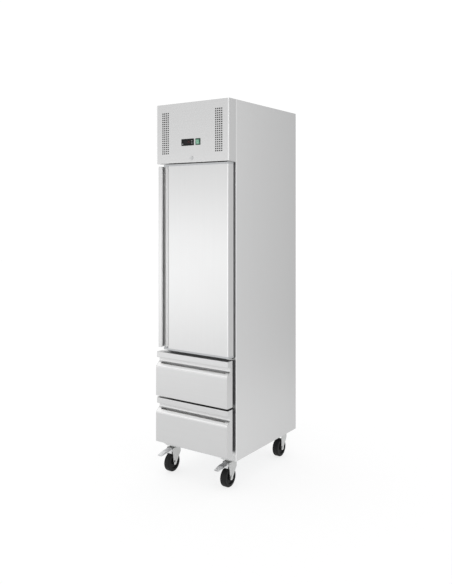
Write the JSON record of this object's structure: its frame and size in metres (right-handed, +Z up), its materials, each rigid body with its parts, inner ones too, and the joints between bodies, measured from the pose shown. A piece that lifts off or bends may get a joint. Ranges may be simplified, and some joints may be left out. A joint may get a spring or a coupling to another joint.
{
  "type": "commercial refrigerator cabinet",
  "caption": "Slim upright stainless refrigerator with a door above stacked drawers, recessed pulls, a vented control head and braked swivel casters.",
  "frame": {"origin": "on the floor, under the middle of the overall footprint", "axes": "+X to the viewer's right when facing the door, +Y towards the back, +Z up"},
  "size_m": [0.48, 0.745, 2.01],
  "materials": {
    "satin_stainless": "satin",
    "galvanised_steel": "matte",
    "zinc_plated_steel": "satin",
    "rigid_foam": "matte",
    "gasket_rubber": "matte",
    "grey_plastic": "satin",
    "white_plastic": "satin",
    "black_plastic": "satin",
    "key_plastic": "satin",
    "green_rocker": "gloss",
    "lock_chrome": "polished",
    "wheel_rubber": "matte",
    "black_enamel": "satin",
    "coil_aluminium": "satin",
    "pipe_copper": "satin",
    "box_plastic": "matte",
    "lamp_diffuser": "gloss"
  },
  "bodies": {
    "cabinet": {"side_panel_left": "satin_stainless", "side_panel_right": "satin_stainless", "rear_panel": "galvanised_steel", "base_pan": "galvanised_steel", "cabinet_insulation": "rigid_foam", "inner_liner": "satin_stainless", "mullions": "grey_plastic", "head_panel": "satin_stainless", "top_cover": "satin_stainless", "unit_deck": "galvanised_steel", "compressor": "black_enamel", "condenser": "coil_aluminium", "fan_shroud": "galvanised_steel", "refrigerant_pipes": "pipe_copper", "electrical_box": "box_plastic", "evaporator_coil": "coil_aluminium", "evaporator_cover": "satin_stainless", "led_lamp": "lamp_diffuser", "power_inlet": "black_plastic", "controller_case": "black_plastic", "rocker_bezel": "black_plastic", "lock_housing": "lock_chrome", "shelf_supports": "satin_stainless", "wire_shelves": "satin_stainless", "hinge_brackets": "zinc_plated_steel", "runner_rails": "galvanised_steel", "caster_plates": "zinc_plated_steel"},
    "door": {"door_skin": "satin_stainless", "door_handle": "satin_stainless", "door_insulation": "rigid_foam", "door_liner": "white_plastic", "door_caps": "grey_plastic", "door_gasket": "gasket_rubber"},
    "condenser_fan": {"condenser_fan": "black_plastic"},
    "evaporator_fan": {"evaporator_fan": "black_plastic"},
    "key_set": {"key_set": "key_plastic"},
    "key_up": {"key_up": "key_plastic"},
    "key_down": {"key_down": "key_plastic"},
    "rocker": {"rocker": "green_rocker"},
    "lock": {"lock_cylinder": "lock_chrome"},
    "upper_drawer": {"upper_drawer_front": "satin_stainless", "upper_drawer_insulation": "rigid_foam", "upper_drawer_gasket": "gasket_rubber", "upper_drawer_frame": "satin_stainless"},
    "upper_slides": {"upper_drawer_slides": "galvanised_steel"},
    "lower_drawer": {"lower_drawer_front": "satin_stainless", "lower_drawer_insulation": "rigid_foam", "lower_drawer_gasket": "gasket_rubber", "lower_drawer_frame": "satin_stainless"},
    "lower_slides": {"lower_drawer_slides": "galvanised_steel"},
    "caster_front_left": {"caster_fork_front_left": "zinc_plated_steel"},
    "wheel_front_left": {"caster_wheel_front_left": "wheel_rubber"},
    "pedal_front_left": {"brake_pedal_front_left": "zinc_plated_steel"},
    "caster_front_right": {"caster_fork_front_right": "zinc_plated_steel"},
    "wheel_front_right": {"caster_wheel_front_right": "wheel_rubber"},
    "pedal_front_right": {"brake_pedal_front_right": "zinc_plated_steel"},
    "caster_rear_left": {"caster_fork_rear_left": "zinc_plated_steel"},
    "wheel_rear_left": {"caster_wheel_rear_left": "wheel_rubber"},
    "caster_rear_right": {"caster_fork_rear_right": "zinc_plated_steel"},
    "wheel_rear_right": {"caster_wheel_rear_right": "wheel_rubber"}
  },
  "joints": [
    {"name": "door_hinge", "type": "hinge", "parent": "cabinet", "child": "door", "pos_m": [0.222, -0.2925, 1.182], "axis": [0, 0, 1], "range_deg": [0, 110]},
    {"name": "upper_drawer_slide", "type": "slide", "parent": "cabinet", "child": "upper_drawer", "axis": [0, -1, 0], "range_m": [0, 0.48]},
    {"name": "upper_runner_slide", "type": "slide", "parent": "cabinet", "child": "upper_slides", "axis": [0, -1, 0], "range_m": [0, 0.24]},
    {"name": "lower_drawer_slide", "type": "slide", "parent": "cabinet", "child": "lower_drawer", "axis": [0, -1, 0], "range_m": [0, 0.48]},
    {"name": "lower_runner_slide", "type": "slide", "parent": "cabinet", "child": "lower_slides", "axis": [0, -1, 0], "range_m": [0, 0.24]},
    {"name": "swivel_front_left", "type": "hinge", "parent": "cabinet", "child": "caster_front_left", "pos_m": [-0.187, -0.2235, 0.131], "axis": [0, 0, 1], "continuous": true},
    {"name": "wheel_spin_front_left", "type": "hinge", "parent": "caster_front_left", "child": "wheel_front_left", "pos_m": [-0.187, -0.2645, 0.05], "axis": [1, 0, 0], "continuous": true},
    {"name": "pedal_front_left_pivot", "type": "hinge", "parent": "caster_front_left", "child": "pedal_front_left", "pos_m": [-0.187, -0.2735, 0.116], "axis": [1, 0, 0], "range_deg": [0, 12]},
    {"name": "swivel_front_right", "type": "hinge", "parent": "cabinet", "child": "caster_front_right", "pos_m": [0.187, -0.2235, 0.131], "axis": [0, 0, 1], "continuous": true},
    {"name": "wheel_spin_front_right", "type": "hinge", "parent": "caster_front_right", "child": "wheel_front_right", "pos_m": [0.187, -0.2645, 0.05], "axis": [1, 0, 0], "continuous": true},
    {"name": "pedal_front_right_pivot", "type": "hinge", "parent": "caster_front_right", "child": "pedal_front_right", "pos_m": [0.187, -0.2735, 0.116], "axis": [1, 0, 0], "range_deg": [0, 12]},
    {"name": "swivel_rear_left", "type": "hinge", "parent": "cabinet", "child": "caster_rear_left", "pos_m": [-0.187, 0.3075, 0.131], "axis": [0, 0, 1], "continuous": true},
    {"name": "wheel_spin_rear_left", "type": "hinge", "parent": "caster_rear_left", "child": "wheel_rear_left", "pos_m": [-0.187, 0.2665, 0.05], "axis": [1, 0, 0], "continuous": true},
    {"name": "swivel_rear_right", "type": "hinge", "parent": "cabinet", "child": "caster_rear_right", "pos_m": [0.187, 0.3075, 0.131], "axis": [0, 0, 1], "continuous": true},
    {"name": "wheel_spin_rear_right", "type": "hinge", "parent": "caster_rear_right", "child": "wheel_rear_right", "pos_m": [0.187, 0.2665, 0.05], "axis": [1, 0, 0], "continuous": true},
    {"name": "rocker_tilt", "type": "hinge", "parent": "cabinet", "child": "rocker", "pos_m": [0.043, -0.3285, 1.7975], "axis": [1, 0, 0], "range_deg": [-14, 0]},
    {"name": "key_set_press", "type": "slide", "parent": "cabinet", "child": "key_set", "axis": [0, 1, 0], "range_m": [0, 0.0008], "stiffness_N_per_m": 300, "springref_m": -0.0004},
    {"name": "key_up_press", "type": "slide", "parent": "cabinet", "child": "key_up", "axis": [0, 1, 0], "range_m": [0, 0.0008], "stiffness_N_per_m": 300, "springref_m": -0.0004},
    {"name": "key_down_press", "type": "slide", "parent": "cabinet", "child": "key_down", "axis": [0, 1, 0], "range_m": [0, 0.0008], "stiffness_N_per_m": 300, "springref_m": -0.0004},
    {"name": "lock_turn", "type": "hinge", "parent": "cabinet", "child": "lock", "pos_m": [0, -0.3035, 1.713], "axis": [0, 1, 0], "range_deg": [0, 90]},
    {"name": "condenser_fan_spin", "type": "hinge", "parent": "cabinet", "child": "condenser_fan", "pos_m": [0, -0.1765, 1.823], "axis": [0, 1, 0], "continuous": true},
    {"name": "evaporator_fan_spin", "type": "hinge", "parent": "cabinet", "child": "evaporator_fan", "pos_m": [0, 0.0245, 1.565], "axis": [0, 1, 0], "continuous": true}
  ],
  "couplings": [
    {"joint": "upper_runner_slide", "follows": "upper_drawer_slide", "ratio": 0.5},
    {"joint": "lower_runner_slide", "follows": "lower_drawer_slide", "ratio": 0.5}
  ]
}
